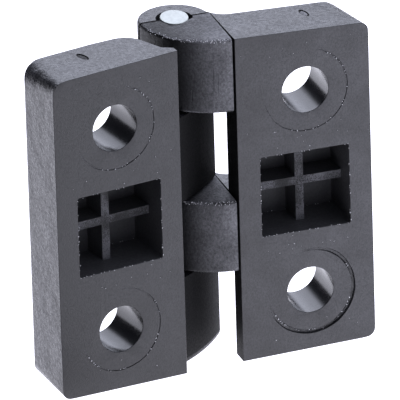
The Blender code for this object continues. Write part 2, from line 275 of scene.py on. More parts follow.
# Sizes are in millimetres: grain is the width of a grain, height the relief of grain and wave that of the sinking.
# Light is the colour of the palest grains, spread how gradually they come up, swing how far the roughness varies.
# Painted shade names the axis along which the grains turn pale, and the places where that starts and ends; the grains
# stay darkest at the start.
noiseLow, noiseHigh = 0.3, 0.7  # a noise mostly keeps between these
plainFinish = {"ior": 1.53, "stretch": 1.0, "spread": 0.14, "wave": 0.0, "cloud": 5.0}
polyamideValues = {
    "ground": {  # mounting faces, off a ground plate: the finest and most even; painted shade makes the left leaf's darker than the right one's
        "base": "111112", "light": "4c4c4f", "roughness": 0.42, "swing": 0.14,
        "grain": 0.22, "height": 0.045, "stretch": 0.8, "spread": 0.28, "paintedShade": ("X", -30.0, 24.0),
    },
    "eroded": {  # outer faces, off a spark-eroded cavity: mottled, drawn out along the height, slightly sunk
        "base": "09090a", "light": "353539", "roughness": 0.32, "swing": 0.15,
        "grain": 0.5, "height": 0.08, "stretch": 1.2, "wave": 0.4,
    },
    "sandyLightAndShade": {  # caps, off a freshly blasted steel: coarse and dull; pale grains are painted light on the lit right front, painted shade darkens the left flank
        "base": "060607", "light": "8c8c90", "ior": 1.35, "roughness": 0.52, "swing": 0.14,
        "grain": 0.34, "height": 0.1, "stretch": 0.9, "spread": 0.24, "wave": 0.05, "paintedShade": ("X", -2.6, 5.4),
    },
    "grazedAndHighlight": {  # cap rims and rib edges: rough, catches the light in specks; on the ribs rubbed where the mould halves shut, on the caps' rims a painted highlight
        "base": "161617", "light": "646468", "roughness": 0.38, "swing": 0.18,
        "grain": 0.17, "height": 0.2, "spread": 0.05,
    },
    "mattAndShade": {  # knuckles and the walls between them, off a bead-blasted steel: swallows light; painted shade makes them darkest at the front, between the leaves
        "base": "080809", "light": "505054", "ior": 1.3, "roughness": 0.66, "swing": 0.1,
        "grain": 0.3, "height": 0.03, "spread": 0.3, "paintedShade": ("Y", -0.5, 4.5),
    },
    "deep": {  # pocket walls, off a milled core: even; a little greyer as painted light in the pocket's shade
        "base": "303032", "light": "3e3e40", "roughness": 0.5, "swing": 0.08,
        "grain": 0.35, "height": 0.01,
    },
    "polished": {  # bores, off turned core pins: glossy, so they mirror the studio in bands
        "base": "1c1c1d", "light": "282829", "roughness": 0.22, "swing": 0.04,
        "grain": 0.5, "height": 0.003, "stretch": 0.3,
    },
}


def mouldedPolyamide(name, values):  # near black glass-filled plastic; the grain breaks up its highlights
    values = plainFinish | values
    material, tree, shader = newMaterial(name)
    coords = addNode(tree, "ShaderNodeTexCoord").outputs["Object"]
    drawn = addNode(tree, "ShaderNodeVectorMath", {0: coords, 1: (1.0, 1.0, values["stretch"])}, operation="MULTIPLY")
    grain = addNode(tree, "ShaderNodeTexNoise", {
        "Vector": drawn, "Scale": 1.0 / (values["grain"] * mm), "Detail": 3.0, "Roughness": 0.65,
    })
    cloud = addNode(tree, "ShaderNodeTexNoise", {
        "Vector": coords, "Scale": 1.0 / (values["cloud"] * mm), "Detail": 3.0,
    })
    blend = addNode(tree, "ShaderNodeMath", {0: grain, 1: cloud}, operation="MULTIPLY")
    usual = 0.26  # two noises multiplied lie about here
    spread = addNode(tree, "ShaderNodeMapRange", {
        "Value": blend, "From Min": usual - values["spread"], "From Max": usual + values["spread"],
    })
    if "paintedShade" in values:  # painted shade: darker at one side, lighter towards the other
        axis, dark, pale = values["paintedShade"]
        along = addNode(tree, "ShaderNodeSeparateXYZ", {0: coords})
        paintedShade = addNode(tree, "ShaderNodeMapRange", {
            "Value": along.outputs[axis], "From Min": dark * mm, "From Max": pale * mm,
        })
        spread = addNode(tree, "ShaderNodeMath", {0: spread, 1: paintedShade}, operation="MULTIPLY")
    colour = addNode(tree, "ShaderNodeMix", {
        "Factor": spread, 6: linearColour(values["base"]), 7: linearColour(values["light"]),
    }, data_type="RGBA")
    rough = addNode(tree, "ShaderNodeMapRange", {
        "Value": grain, "From Min": noiseLow, "From Max": noiseHigh,
        "To Min": values["roughness"] + values["swing"], "To Max": values["roughness"] - values["swing"],
    })
    bump = addNode(tree, "ShaderNodeBump", {"Height": grain, "Distance": values["height"] * mm})
    if values["wave"] > 0.0:
        waves = addNode(tree, "ShaderNodeBump", {"Height": cloud, "Distance": values["wave"] * mm})
        feed(tree, bump, {"Normal": waves})
    feed(tree, shader, {"IOR": values["ior"], "Base Color": colour.outputs[2], "Roughness": rough, "Normal": bump})
    return material


steelValues = {"colour": "abafac", "grain": 0.4, "height": 0.01, "smoothest": 0.46, "roughest": 0.6}


def drawnSteel(name):  # bright drawn wire, sheared off: bluish white in the light
    values = steelValues
    material, tree, shader = newMaterial(name)
    coords = addNode(tree, "ShaderNodeTexCoord").outputs["Object"]
    scratches = addNode(tree, "ShaderNodeTexNoise", {
        "Vector": coords, "Scale": 1.0 / (values["grain"] * mm), "Detail": 3.0,
    })
    rough = addNode(tree, "ShaderNodeMapRange", {
        "Value": scratches, "From Min": noiseLow, "From Max": noiseHigh,
        "To Min": values["smoothest"], "To Max": values["roughest"],
    })
    bump = addNode(tree, "ShaderNodeBump", {"Height": scratches, "Distance": values["height"] * mm})
    feed(tree, shader, {
        "Metallic": 1.0, "Base Color": linearColour(values["colour"]), "Roughness": rough, "Normal": bump,
    })
    return material


polyamide = {}
for finish, values in polyamideValues.items():
    polyamide[finish] = mouldedPolyamide(f"{finish}Polyamide", values)
pinSteel = drawnSteel("drawnSteel")
print("materials made")


# Leaves

leafValues = {  # millimetres and degrees; from the knee outwards the ends slope, by endDrop in all
    "width": 19.5, "thickness": 9.35, "innerEdge": 5.2, "knee": 5.35, "pinSetback": 1.05, "endDrop": 0.6,
    "height": 48.6, "fold": 10.0,
    "cornerRadii": {  # at the mounting face and at the back
        "left": {"top": (1.7, 3.5), "bottom": (1.3, 3.2)}, "right": {"top": (1.2, 4.2), "bottom": (1.3, 3.2)},
    },
    "backEdgeRadius": 1.4, "rimRadius": 0.5, "lowerRimRadius": 1.1, "edgeRadius": 0.08,
    "knuckleRadius": 5.1, "knuckleFillet": 3.0, "seam": 0.1,
    "slopeSetback": 1.9, "slopeEnd": 155.0, "slopeRadius": 28.0,
    "leftReliefSetback": 1.8, "leftReliefStep": 0.8, "rightUpperReliefSetback": 4.4,
    "rightLowerReliefSetback": 2.9, "reliefMargin": 0.05, "reliefRadius": 3.8, "reliefRim": 0.8,
    "boreRadius": 2.095, "mouthRadius": 2.555, "mouthDepth": 0.8,
    "pocket": (13.0, 11.9, 7.9), "pocketCorner": 0.35, "ribThickness": 1.2, "ribRecess": 3.7,
    "holeReach": 15.3, "holeInset": 9.2,
}
knuckleSpans = {
    "leftLower": (0.0, 13.3), "rightLower": (13.7, 24.3), "leftUpper": (24.7, 37.3), "rightUpper": (37.7, 48.6),
}
mountReach = leafValues["pinSetback"] + leafValues["thickness"]
outerEdge = leafValues["innerEdge"] + leafValues["width"]
margin = 1.0  # how far cutters reach past what they cut
sides = {"right": 1, "left": -1}


def filletPlace():
    v = leafValues
    rise = v["knuckleFillet"] - v["pinSetback"]
    return math.sqrt((v["knuckleRadius"] + v["knuckleFillet"]) ** 2 - rise ** 2), rise


def leafOutline(sideName):  # seen from above, as a right leaf; round the back and the knuckle to the front
    v = leafValues
    fillet = filletPlace()
    tangent = math.atan2(fillet[1], fillet[0])
    inner = v["innerEdge"] - (margin if sideName == "right" else 0.0)  # the right one is trimmed along its seam later
    outline = [(inner, -mountReach), (outerEdge, -mountReach), (outerEdge, -v["pinSetback"])]
    outline += arcPoints(fillet, v["knuckleFillet"], -math.pi / 2, tangent - math.pi, 5.0)
    if sideName == "right":
        return outline + arcPoints((0.0, 0.0), v["knuckleRadius"], tangent, math.pi + 0.5)[1:]  # past the seam
    end = math.tau - math.radians(v["slopeEnd"])
    outline += arcPoints((0.0, 0.0), v["knuckleRadius"], tangent, end)[1:]
    return outline + arcBetween(outline[-1], (v["innerEdge"], v["slopeSetback"] - mountReach), v["slopeRadius"])[1:]


def leafBlock(sideName):  # leaf and its knuckles over the whole height, with the moulded radii
    v = leafValues
    side = sides[sideName]
    outline = leafOutline(sideName)
    count = len(outline)
    shape = prismShape(outline, 0.0, v["height"])
    weights = shape.edges.layers.float.new("bevel_weight_edge")
    shape.verts.ensure_lookup_table()
    largest = v["backEdgeRadius"]
    lowerRim = v["lowerRimRadius"] if sideName == "left" else v["rimRadius"]
    for index in range(1, count - 1):
        for offset, radius in ((0, lowerRim), (count, v["rimRadius"])):
            edge = shape.edges.get((shape.verts[index + offset], shape.verts[index + 1 + offset]))
            edge[weights] = radius / largest
    shape.edges.get((shape.verts[2], shape.verts[2 + count]))[weights] = 1.0
    bmesh.ops.bisect_plane(
        shape, geom=shape.verts[:] + shape.edges[:] + shape.faces[:], dist=1e-5,
        plane_co=(v["knee"], 0, 0), plane_no=(1, 0, 0),
    )
    for vert in shape.verts:
        drop = max(0.0, vert.co.x - v["knee"]) * v["endDrop"] / v["width"]
        vert.co.z += drop if vert.co.z < v["height"] / 2 else -drop
        vert.co.x *= side
    block = newObject(f"{sideName}Leaf", shape)
    bevel(block, largest, 6)
    for vert in block.data.vertices:
        vert.co.z = min(max(vert.co.z, 0.0), v["height"] * mm)
    triangulate(block)
    if sideName == "right":
        past = v["knuckleRadius"] + margin
        low = -mountReach - margin
        seam = rectangle(-past, v["innerEdge"], low, v["seam"])
        cut(block, prism("seam", seam, -margin, v["height"] + margin))
    return block


def roundCorner(leaf, sideName, end):  # the outer corner's radius grows from the mounting face to the back
    v = leafValues
    side = sides[sideName]
    near, far = v["cornerRadii"][sideName][end]
    reach = margin / v["thickness"]
    past, slant = 0.1, 3.0  # the cutter leaves the faces at a small angle
    rings = []
    for share in (-reach, 1.0 + reach):
        radius = near + (far - near) * share
        arc = arcPoints((-radius, -radius), radius, math.radians(slant), math.radians(90 - slant), 7.0)
        run = (past - arc[0][0]) / math.tan(math.radians(slant))
        low, left = arc[0][1] - run, arc[-1][0] - run
        outline = [(margin, low), (past, low)] + arc + [(left, past), (left, margin), (margin, margin)]
        y = -mountReach + v["thickness"] * share
        rings.append([(x, y, z) for x, z in outline])
    up = 1 if end == "top" else -1
    level = v["height"] - v["endDrop"] if end == "top" else v["endDrop"]
    slope = Matrix.Rotation(up * side * math.atan(v["endDrop"] / v["width"]) / 2, 4, "Y")
    place = Matrix.Translation((side * outerEdge * mm, 0.0, level * mm)) @ slope
    cut(leaf, loft("corner", rings, place @ Matrix.Diagonal((side, 1.0, up, 1.0))))


def reliefOutline(setback, step):  # the step is a small bevel between the front wall and the inner one
    v = leafValues
    outer = (filletPlace()[0] + v["reliefMargin"], -v["pinSetback"])
    reach = mountReach - setback
    start = (v["innerEdge"], -reach)
    corner = (v["innerEdge"] + step, step - reach)
    past = v["knuckleRadius"] + margin
    outline = [(-past, past), (-past, -reach), start]
    if step > 0.0:
        outline.append(corner)
    wall = math.atan2(outer[1] - corner[1], outer[0] - corner[0])
    radius = v["reliefRadius"]
    tangent = radius * math.tan(wall / 2)
    centre = (outer[0] + tangent, outer[1] - radius)
    slant = math.radians(4.0)  # the cutter leaves the outer face at a small angle
    outline += arcPoints(centre, radius, wall + math.pi / 2, math.pi / 2 + slant, 8.0)
    endX, endY = outline[-1]
    run = margin / math.tan(slant)
    return outline + [(endX + run, endY + margin), (endX + run, past)]


def cutReliefs(leaf, sideName):  # room for the other leaf's knuckles
    v, spans = leafValues, knuckleSpans
    if sideName == "left":
        plan = reliefOutline(v["leftReliefSetback"], v["leftReliefStep"])
        cuts = [
            (plan, spans["leftLower"][1], spans["leftUpper"][0]),
            (plan, spans["leftUpper"][1], v["height"] + margin),
        ]
    else:
        lower = reliefOutline(v["rightLowerReliefSetback"], 0.0)
        upper = reliefOutline(v["rightUpperReliefSetback"], 0.0)
        cuts = [(lower, -margin, spans["rightLower"][0]), (upper, spans["rightLower"][1], spans["rightUpper"][0])]
    for plan, low, high in cuts:
        cut(leaf, prism("relief", [(sides[sideName] * x, y) for x, y in plan], low, high))
    if sideName == "left":
        cut(leaf, reliefFlare(plan))


def reliefFlare(plan):  # rounds the left leaf's top edge where it runs down to the upper knuckle's recess
    v = leafValues
    radius = v["reliefRim"]
    rings = []
    for angle in (-90, 0, 16, 32, 48, 64, 78, 90):  # the first and the last ring lie a margin below and above
        turn = math.radians(max(0, min(angle, 78)))
        ring = []
        for index, (x, y) in enumerate(plan):
            start, end = plan[max(index - 1, 0)], plan[min(index + 1, len(plan) - 1)]
            length = math.dist(start, end)
            out = ((end[1] - start[1]) / length, (start[0] - end[0]) / length)
            away = radius * (1 - math.cos(turn)) if 1 <= index < len(plan) - 1 else 0.0
            drop = max(0.0, x - v["knee"]) * v["endDrop"] / v["width"]
            level = v["height"] - drop - radius + radius * math.sin(turn)
            level += -margin if angle < 0 else margin if angle == 90 else 0.0
            ring.append((-(x + out[0] * away), y + out[1] * away, level))
        rings.append(ring)
    return loft("reliefFlare", rings)


def cutBore(leaf):
    v = leafValues
    top = v["height"] + margin
    profile = [
        (0.0, -margin), (v["mouthRadius"], -margin), (v["mouthRadius"], v["mouthDepth"]),
        (v["boreRadius"], v["mouthDepth"]), (v["boreRadius"], v["height"] - v["mouthDepth"]),
        (v["mouthRadius"], v["height"] - v["mouthDepth"]), (v["mouthRadius"], top), (0.0, top),
    ]
    cut(leaf, spun("bore", profile, turnSteps, Matrix.Rotation(math.pi / turnSteps, 4, "Z")))


def cutPocket(leaf, side):  # the pocket is cut with rounded corners, then its ribs go back in
    v = leafValues
    width, height, depth = v["pocket"]
    x = side * (v["innerEdge"] + v["width"] / 2)
    z = v["height"] / 2
    radius = v["pocketCorner"]
    corners = []
    for cornerX, cornerY, start in ((1, 1, 0), (-1, 1, 90), (-1, -1, 180), (1, -1, 270)):
        centre = (cornerX * (width / 2 - radius), cornerY * (height / 2 - radius))
        corners += arcPoints(centre, radius, math.radians(start), math.radians(start + 90), 15.0)
    place = Matrix.Translation((x * mm, -mountReach * mm, z * mm)) @ Matrix.Rotation(math.pi / 2, 4, "X")
    cut(leaf, prism("pocket", corners, -depth, margin, place))
    root = 0.5  # how deep the ribs run into the walls and the floor
    low, high = v["ribRecess"] - mountReach, depth + root - mountReach
    half = v["ribThickness"] / 2
    upright = rectangle(side * (v["holeReach"] - half), side * (v["holeReach"] + half), low, high)
    near, far = abs(x) - width / 2 - root, abs(x) + width / 2 + root
    step = 0.02  # keeps the ribs' faces from lying in one plane
    level = rectangle(side * near, side * far, low + step, high - step)
    cut(leaf, prism("uprightRib", upright, z - height / 2 - root, z + height / 2 + root), "UNION")
    cut(leaf, prism("levelRib", level, z - half, z + half), "UNION")


gateValues = {  # profile of (radius, height), as shares of the half widths and in millimetres
    "reach": {"left": 16.8, "right": 17.4}, "depth": 4.5, "across": 0.55, "along": 1.4, "turn": 8.0,
    "profile": ((0.0, 0.0), (0.35, -0.03), (0.6, -0.1), (0.82, -0.14), (1.0, 0.04), (1.0, 0.6), (0.0, 0.6)),
    "pit": 1.02, "nub": 0.75,
}


def cutGateMark(leaf, sideName):  # where the plastic came in, on the top end: a small oval pit round a nub
    v = gateValues
    side = sides[sideName]
    reach = v["reach"][sideName]
    slope = leafValues["endDrop"] / leafValues["width"]
    top = leafValues["height"] - (reach - leafValues["knee"]) * slope
    place = Matrix.Translation((side * reach * mm, -v["depth"] * mm, top * mm))
    place = place @ Matrix.Rotation(side * math.atan(slope), 4, "Y")
    place = place @ Matrix.Rotation(math.radians(v["turn"]), 4, "Z")
    place = place @ Matrix.Diagonal((v["across"], v["along"], 1.0, 1.0))
    cut(leaf, spun("gateMark", v["profile"], 36, place))


holeValues = {  # millimetres
    "diameter": 6.8, "countersinkDiameter": 12.0, "countersinkDepth": 1.9, "count": 2,
}


def screwHoleTree():  # a row of countersunk holes cut along Z, each bored along Y
    tree, given, result = newTree("screwHoles", {
        "Count": 2, "First": (0.0, 0.0, 0.0), "Spacing": 0.03, "Thickness": 0.01,
        "Diameter": 0.006, "Countersink": 0.012, "Sink Depth": 0.0015,
    })
    row = addRow(tree, given)
    radius = addNode(tree, "ShaderNodeMath", {0: given["Diameter"], 1: 0.5}, operation="MULTIPLY")
    past = addNode(tree, "ShaderNodeMath", {0: given["Thickness"], 1: 1.5}, operation="MULTIPLY")
    shank = addNode(tree, "GeometryNodeMeshCylinder", {"Vertices": turnSteps, "Radius": radius, "Depth": past})
    middle = addNode(tree, "ShaderNodeMath", {0: given["Thickness"], 1: 0.5}, operation="MULTIPLY")
    overlap = 0.5 * mm  # the cone starts inside the hole and ends past the outer face
    wide = addNode(tree, "ShaderNodeMath", {0: given["Countersink"], 1: 0.5}, operation="MULTIPLY")
    flare = addNode(tree, "ShaderNodeMath", {0: wide, 1: radius}, operation="SUBTRACT")
    slope = addNode(tree, "ShaderNodeMath", {0: flare, 1: given["Sink Depth"]}, operation="DIVIDE")
    extra = addNode(tree, "ShaderNodeMath", {0: slope, 1: overlap}, operation="MULTIPLY")
    coneDepth = addNode(tree, "ShaderNodeMath", {0: given["Sink Depth"], 1: 2 * overlap}, operation="ADD")
    narrowEnd = addNode(tree, "ShaderNodeMath", {0: radius, 1: extra}, operation="SUBTRACT")
    wideEnd = addNode(tree, "ShaderNodeMath", {0: wide, 1: extra}, operation="ADD")
    cone = addNode(tree, "GeometryNodeMeshCone", {
        "Vertices": turnSteps, "Radius Top": wideEnd, "Radius Bottom": narrowEnd,
        "Depth": coneDepth,
    })
    coneStart = addNode(tree, "ShaderNodeMath", {0: given["Thickness"], 1: given["Sink Depth"]}, operation="SUBTRACT")
    coneLow = addNode(tree, "ShaderNodeMath", {0: coneStart, 1: overlap}, operation="SUBTRACT")
    cutters = []
    for solid, level in ((shank, middle), (cone, coneLow)):
        lift = addNode(tree, "ShaderNodeCombineXYZ", {"Z": level})
        lifted = addNode(tree, "GeometryNodeTransform", {"Geometry": solid, "Translation": lift})
        copies = addNode(tree, "GeometryNodeInstanceOnPoints", {
            "Points": row, "Instance": lifted, "Rotation": (-math.pi / 2, 0.0, 0.0),
        })
        cutters.append(addNode(tree, "GeometryNodeRealizeInstances", {"Geometry": copies}))
    bored = addNode(tree, "GeometryNodeMeshBoolean", {
        "Mesh 1": given["Geometry"], "Mesh 2": cutters,
    }, operation="DIFFERENCE", solver="EXACT")
    return closeTree(tree, bored, given, result)


ringValues = {  # the depth lessens by the fall on the side away from the deepest one
    "each": {"Diameter": 12.15, "Groove": 0.22, "Depth": 0.12, "Fall": 0.14, "Wobble": 0.045, "Sway": 0.05},
    "second": {"Diameter": 12.5, "Groove": 0.62, "Depth": 0.45, "Fall": 0.5}, "secondShift": (0.12, 0.0, -0.14),
    "deepest": (0.8, 0.0, -0.6),  # towards the picture's lower right
    "seeds": {"right": 4.0, "left": 2.0, "second": 9.0},
}


def witnessRingTree():  # shallow uneven grooves left round the holes by the tool's inserts
    tree, given, result = newTree("witnessRings", {
        "Count": 2, "First": (0.0, 0.0, 0.0), "Spacing": 0.03, "Diameter": 0.012, "Groove": 0.0002,
        "Depth": 0.00005, "Deepest": (1.0, 0.0, 0.0), "Fall": 0.0001, "Wobble": 0.00005, "Sway": 0.00005, "Seed": 0.0,
    })
    row = addRow(tree, given)
    radius = addNode(tree, "ShaderNodeMath", {0: given["Diameter"], 1: 0.5}, operation="MULTIPLY")
    bead = addNode(tree, "ShaderNodeMath", {0: given["Groove"], 1: 0.5}, operation="MULTIPLY")
    path = addNode(tree, "GeometryNodeCurvePrimitiveCircle", {"Resolution": 220, "Radius": radius})
    profile = addNode(tree, "GeometryNodeCurvePrimitiveCircle", {"Resolution": 6, "Radius": bead})
    ring = addNode(tree, "GeometryNodeCurveToMesh", {"Curve": path, "Profile Curve": profile})
    upright = addNode(tree, "GeometryNodeTransform", {"Geometry": ring, "Rotation": (-math.pi / 2, 0.0, 0.0)})
    local = addNode(tree, "GeometryNodeInputPosition")
    outwards = addNode(tree, "ShaderNodeVectorMath", {0: local}, operation="NORMALIZE")
    facing = addNode(tree, "ShaderNodeVectorMath", {0: outwards, 1: given["Deepest"]}, operation="DOT_PRODUCT")
    lifted = addNode(tree, "ShaderNodeMath", {0: given["Fall"], 1: -1.0}, operation="MULTIPLY")
    fall = addNode(tree, "ShaderNodeMapRange", {
        "Value": facing.outputs["Value"], "From Min": -0.9, "From Max": 0.3, "To Min": lifted, "To Max": 0.0,
    })
    shelf = addNode(tree, "ShaderNodeCombineXYZ", {"Y": fall})
    slanted = addNode(tree, "GeometryNodeSetPosition", {"Geometry": upright, "Offset": shelf})
    copies = addNode(tree, "GeometryNodeInstanceOnPoints", {"Points": row, "Instance": slanted})
    rings = addNode(tree, "GeometryNodeRealizeInstances", {"Geometry": copies})
    place = addNode(tree, "GeometryNodeInputPosition")
    shakes = []
    for scale, size in ((1.1, given["Wobble"]), (4.0, given["Sway"])):  # a swing's length in millimetres
        noise = addNode(tree, "ShaderNodeTexNoise", {
            "Vector": place, "W": given["Seed"], "Scale": 1.0 / (scale * mm), "Detail": 3.0,
        }, noise_dimensions="4D")
        centred = addNode(tree, "ShaderNodeVectorMath", {
            0: noise.outputs["Color"], 1: (0.5, 0.5, 0.5),
        }, operation="SUBTRACT")
        factor = addNode(tree, "ShaderNodeMath", {0: size, 1: 4.0}, operation="MULTIPLY")  # it strays by a quarter
        shakes.append(addNode(tree, "ShaderNodeVectorMath", {0: centred, "Scale": factor}, operation="SCALE"))
    shake = addNode(tree, "ShaderNodeVectorMath", {0: shakes[0], 1: shakes[1]})
    inwards = addNode(tree, "ShaderNodeMath", {0: given["Depth"], 1: bead}, operation="SUBTRACT")
    sink = addNode(tree, "ShaderNodeCombineXYZ", {"Y": inwards})
    shift = addNode(tree, "ShaderNodeVectorMath", {0: shake, 1: sink})
    uneven = addNode(tree, "GeometryNodeSetPosition", {"Geometry": rings, "Offset": shift})
    grooved = addNode(tree, "GeometryNodeMeshBoolean", {
        "Mesh 1": given["Geometry"], "Mesh 2": uneven,
    }, operation="DIFFERENCE", solver="EXACT")
    return closeTree(tree, grooved, given, result)


screwHoles = screwHoleTree()
witnessRings = witnessRingTree()


def paint(piece, finishes, choose):  # gives each face the finish that the test names
    piece.data.materials.clear()
    for finish in finishes:
        piece.data.materials.append(polyamide[finish])
    for face in piece.data.polygons:
        face.material_index = finishes.index(choose(face.center / mm, face.normal))


def leafFinish(place, normal):  # one for each part of the mould
    v = leafValues
    reach, level = abs(place.x), abs(place.z - v["height"] / 2)
    fromHole = math.hypot(reach - v["holeReach"], level - v["height"] / 2 + v["holeInset"])
    acrossPocket = abs(reach - v["innerEdge"] - v["width"] / 2) < v["pocket"][0] / 2 + 0.05
    upPocket = level < v["pocket"][1] / 2 + 0.05
    gateX = reach - gateValues["reach"]["right" if place.x > 0 else "left"]
    fromGate = math.hypot(gateX / gateValues["across"], (place.y + gateValues["depth"]) / gateValues["along"])
    if place.y < -mountReach + slack:
        return "ground"
    if fromGate < gateValues["pit"] and place.z > v["height"] - 1.5:  # on the top end, round the nub; the pit is darkened with painted shade
        return "mattAndShade" if fromGate > gateValues["nub"] else "sandyLightAndShade"
    if fromHole < holeValues["diameter"] / 2 + slack:
        return "polished"
    if acrossPocket and upPocket and place.y < -v["pinSetback"] - 0.5:  # the ribs' edges and the walls
        return "grazedAndHighlight" if normal.y < -0.9 and place.y < v["ribRecess"] + 0.1 - mountReach else "deep"
    if reach < v["innerEdge"] + slack and (abs(normal.z) < 0.3 or place.z < 2.0):  # all but the upper ends
        return "mattAndShade" if normal.z > -0.1 else "sandyLightAndShade"  # painted highlight: the rounded lower rim is paler, where it catches the light
    return "eroded"


def makeLeaf(sideName):
    v = leafValues
    side = sides[sideName]
    leaf = leafBlock(sideName)
    cutReliefs(leaf, sideName)
    cutBore(leaf)
    cutPocket(leaf, side)
    for end in ("top", "bottom"):
        roundCorner(leaf, sideName, end)
    cutGateMark(leaf, sideName)
    first = Vector((side * v["holeReach"], -mountReach, v["holeInset"])) * mm
    row = {
        "Count": holeValues["count"], "First": first, "Spacing": (v["height"] - 2 * v["holeInset"]) * mm,
        "Material": polyamide["eroded"],
    }
    grow(leaf, screwHoles, row | inMetres({
        "Thickness": v["thickness"], "Diameter": holeValues["diameter"],
        "Countersink": holeValues["countersinkDiameter"], "Sink Depth": holeValues["countersinkDepth"],
    }))
    middle, inner = v["innerEdge"] + v["width"] / 2, v["innerEdge"] - slack
    mergeFlat(settle(leaf), lambda place: place.y < slack - v["pinSetback"] and abs(place.x) > inner)
    depths = (v["pinSetback"], mountReach - v["pocket"][2])
    tolerance = 0.002

    def onCorner(place):  # round the mounting face, the holes and the pocket, clear of the back's round corners
        if abs(place.y + mountReach) < tolerance:
            return abs(place.x) > inner
        inside = abs(abs(place.x) - middle) < v["width"] / 2 - 1.0
        return inside and any(abs(place.y + depth) < tolerance for depth in depths)

    markEdges(leaf, onCorner, 30.0)
    triangulate(bevel(leaf, v["edgeRadius"], 3))
    rings = row | inMetres(ringValues["each"]) | {
        "Deepest": ringValues["deepest"], "Seed": ringValues["seeds"][sideName],
    }
    grow(leaf, witnessRings, rings)
    if sideName == "right":  # the lower insert was set twice, so its ring is double
        settle(leaf)
        shifted = first + Vector(ringValues["secondShift"]) * mm
        grow(leaf, witnessRings, rings | inMetres(ringValues["second"]) | {
            "Count": 1, "First": shifted, "Seed": ringValues["seeds"]["second"],
        })
    settle(leaf)
    paint(leaf, ("eroded", "ground", "grazedAndHighlight", "polished", "deep", "mattAndShade", "sandyLightAndShade"), leafFinish)
    if sideName == "left":
        leaf.data.transform(Matrix.Rotation(math.radians(v["fold"]), 4, "Z"))
    smooth(leaf, 30.0)
    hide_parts(f"{sideName}_leaf")
    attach(leaf, f"{sideName}_side")
    print(sideName, "leaf made:", len(leaf.data.polygons), "faces")


for sideName in sides:
    makeLeaf(sideName)


# Knuckle caps

capValues = {  # millimetres and degrees
    "seam": 0.22, "frontGap": 0.3, "sideGap": 0.1, "setback": 0.1, "rimRadius": 0.5,
    "seatDirection": 108.0, "seatHalfAngle": 38.0, "seatDepth": 2.65, "seatRadius": 2.6, "edgeRadius": 0.04,
    "scratches": ((2.15, 41.4, 44.6), (2.75, 40.9, 43.6), (-0.6, 39.5, 41.2)),  # x, low end, high end
    "scratchWidth": 0.1, "scratchDepth": 0.07, "scratchTilt": 1.5, "steps": 48,
}


def seatOutline():  # V for the pin, from the seam on the right to the seam on the left
    v = capValues
    lines = []
    for turn in (v["seatHalfAngle"] - 90.0, 0.0, 90.0 - v["seatHalfAngle"]):
        normal = math.radians(v["seatDirection"] + turn)
        reach = v["seatDepth"] if turn == 0.0 else leafValues["boreRadius"]
        lines.append((math.cos(normal), math.sin(normal), reach))
    seam = (0.0, 1.0, v["seam"])
    rows = [seam] + lines + [seam]
    points = []
    for (a, b, c), (d, e, f) in zip(rows, rows[1:]):  # where lines ax + by = c meet, mirrored to the front
        scale = a * e - b * d
        points.append(((c * e - b * f) / scale, -(a * f - c * d) / scale))
    first = -math.asin(v["seam"] / v["seatRadius"])
    sideNormal = math.radians(v["seatDirection"] + v["seatHalfAngle"] - 90.0)
    last = math.acos(leafValues["boreRadius"] / v["seatRadius"]) - sideNormal  # where the mouth meets the long side
    return arcPoints((0.0, 0.0), v["seatRadius"], first, last, 5.0) + points[1:]


def makeCap(name, node, span):
    v = capValues
    reach = mountReach - v["setback"]
    inner = leafValues["innerEdge"]
    across = inner + leafValues["knuckleRadius"]
    start = math.pi + math.asin(v["seam"] / across)
    end = 1.5 * math.pi - math.asin(v["frontGap"] / across)
    outline = []
    for index in range(v["steps"] + 1):
        angle = start + (end - start) * index / v["steps"]
        outline.append((inner + across * math.cos(angle), reach * math.sin(angle)))
    outline += [(inner - v["sideGap"], -v["seam"])] + seatOutline()
    shape = prismShape(outline, *span)
    weights = shape.edges.layers.float.new("bevel_weight_edge")
    shape.verts.ensure_lookup_table()
    for index in range(v["steps"]):
        for offset in (0, len(outline)):
            shape.edges.get((shape.verts[index + offset], shape.verts[index + 1 + offset]))[weights] = 1.0
    cap = bevel(newObject(name, shape), v["rimRadius"], 5)
    for x, low, high in v["scratches"] if name == "upperCap" else ():
        y = -reach * math.sqrt(1 - ((x - inner) / across) ** 2)
        half, deep = v["scratchWidth"] / 2, v["scratchDepth"]
        nick = [(x - half, y - deep), (x + half, y - deep), (x + half, y), (x, y + deep), (x - half, y)]
        tilt = Matrix.Rotation(math.radians(v["scratchTilt"]), 4, "Y")
        place = Matrix.Translation((x * mm, y * mm, low * mm)) @ tilt
        cut(cap, prism("scratch", [(a - x, b - y) for a, b in nick], 0.0, high - low, place))
    markEdges(cap, lambda place: True)
    bevel(cap, v["edgeRadius"], 3)

    def capFinish(place, normal):  # painted highlight: the rim, where the normal is aslant, is bright along the front but not on the left flank
        rounded = 0.2 < abs(normal.z) < 0.97 and min(place.z - span[0], span[1] - place.z) < v["rimRadius"]
        return "grazedAndHighlight" if rounded and normal.x > -0.6 and place.y < -1.0 else "sandyLightAndShade"

    paint(cap, ("sandyLightAndShade", "grazedAndHighlight"), capFinish)
    smooth(cap)
    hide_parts(node)
    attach(cap, "right_side")


makeCap("upperCap", "upper_cap", knuckleSpans["rightUpper"])
makeCap("lowerCap", "lower_cap", knuckleSpans["rightLower"])
print("caps made")


# Hinge pin

pinValues = {  # it lies against the caps' seats, a little forward in the bores, its top cut aslant
    "diameter": 4.0, "proud": 0.22, "dome": 0.14, "crown": 0.04, "forward": 0.06, "slant": 7.0,
}


